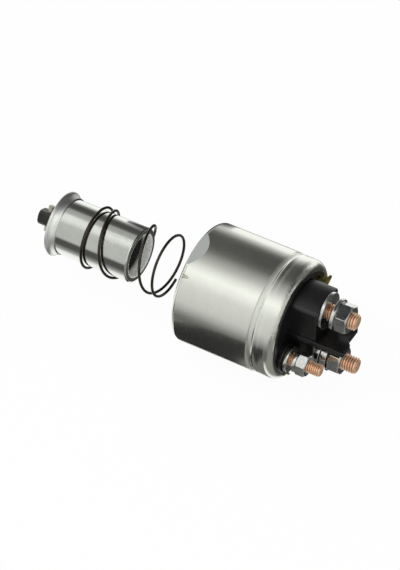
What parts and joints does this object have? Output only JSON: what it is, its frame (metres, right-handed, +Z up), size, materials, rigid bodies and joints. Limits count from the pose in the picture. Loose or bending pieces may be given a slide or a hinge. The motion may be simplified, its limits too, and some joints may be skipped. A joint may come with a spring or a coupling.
{
  "type": "starter solenoid",
  "caption": "Starter motor solenoid: steel can, moulded cap with threaded copper terminals, and a sliding plunger with its return spring and hooked pull rod.",
  "frame": {"origin": "centre of the housing's front mounting face, on the solenoid's axis", "axes": "+X along the axis towards the terminals, +Z up, towards the battery stud"},
  "size_m": [0.171, 0.059, 0.059],
  "materials": {
    "zinc_steel": "satin zinc plating",
    "bright_steel": "bright turned steel",
    "zinc_fastener": "bright zinc plating",
    "copper": "bare turned copper",
    "winding": "enamelled copper wire",
    "brass": "drawn brass",
    "yellow_plate": "yellow passivated plating",
    "phenolic": "moulded, satin",
    "nylon": "moulded",
    "paper_wrap": "varnished paper tape",
    "seal_rubber": "matt",
    "spring_black": "oil-blackened wire",
    "rod_black": "blackened steel"
  },
  "bodies": {
    "housing": {"housing_can": "zinc_steel", "bore_sleeve": "brass", "coil_bobbin": "nylon", "pull_in_coil": "winding", "hold_in_coil": "winding", "coil_wrap": "paper_wrap", "fixed_core": "zinc_steel", "cap_seal": "seal_rubber", "terminal_cap": "phenolic", "battery_stud": "copper", "motor_stud": "copper", "switch_stud": "copper", "battery_base_washer": "zinc_fastener", "battery_lug_washer": "zinc_fastener", "battery_nut": "zinc_fastener", "motor_base_washer": "zinc_fastener", "motor_spring_washer": "zinc_fastener", "motor_nut": "zinc_fastener", "switch_base_washer": "zinc_fastener", "switch_spring_washer": "zinc_fastener", "switch_nut": "zinc_fastener", "upper_solder_tag": "yellow_plate", "lower_solder_tab": "yellow_plate", "upper_coil_lead": "winding", "lower_coil_lead": "winding", "return_spring": "spring_black", "contact_return_spring": "spring_black"},
    "plunger": {"plunger_core": "bright_steel", "spring_collar": "bright_steel", "engagement_spring": "spring_black"},
    "pull_rod": {"pull_rod": "rod_black", "cross_pin": "yellow_plate", "spring_seat": "zinc_steel"},
    "moving_contact": {"contact_rod": "zinc_steel", "contact_disc": "copper", "front_insulator": "nylon", "rear_insulator": "nylon", "rod_clip": "zinc_steel", "contact_spring": "spring_black"}
  },
  "joints": [
    {"name": "plunger_slide", "type": "slide", "parent": "housing", "child": "plunger", "axis": [1, 0, 0], "range_m": [0, 0.063], "stiffness_N_per_m": 120, "deforming": ["return_spring"]},
    {"name": "pull_rod_slide", "type": "slide", "parent": "plunger", "child": "pull_rod", "axis": [-1, 0, 0], "range_m": [0, 0.008], "stiffness_N_per_m": 1500, "deforming": ["engagement_spring"]},
    {"name": "moving_contact_slide", "type": "slide", "parent": "housing", "child": "moving_contact", "axis": [1, 0, 0], "range_m": [0, 0.0029], "stiffness_N_per_m": 400, "deforming": ["contact_return_spring"]}
  ],
  "couplings": [
    {"joint": "moving_contact_slide", "follows": "plunger_slide", "ratio": 0.046}
  ]
}
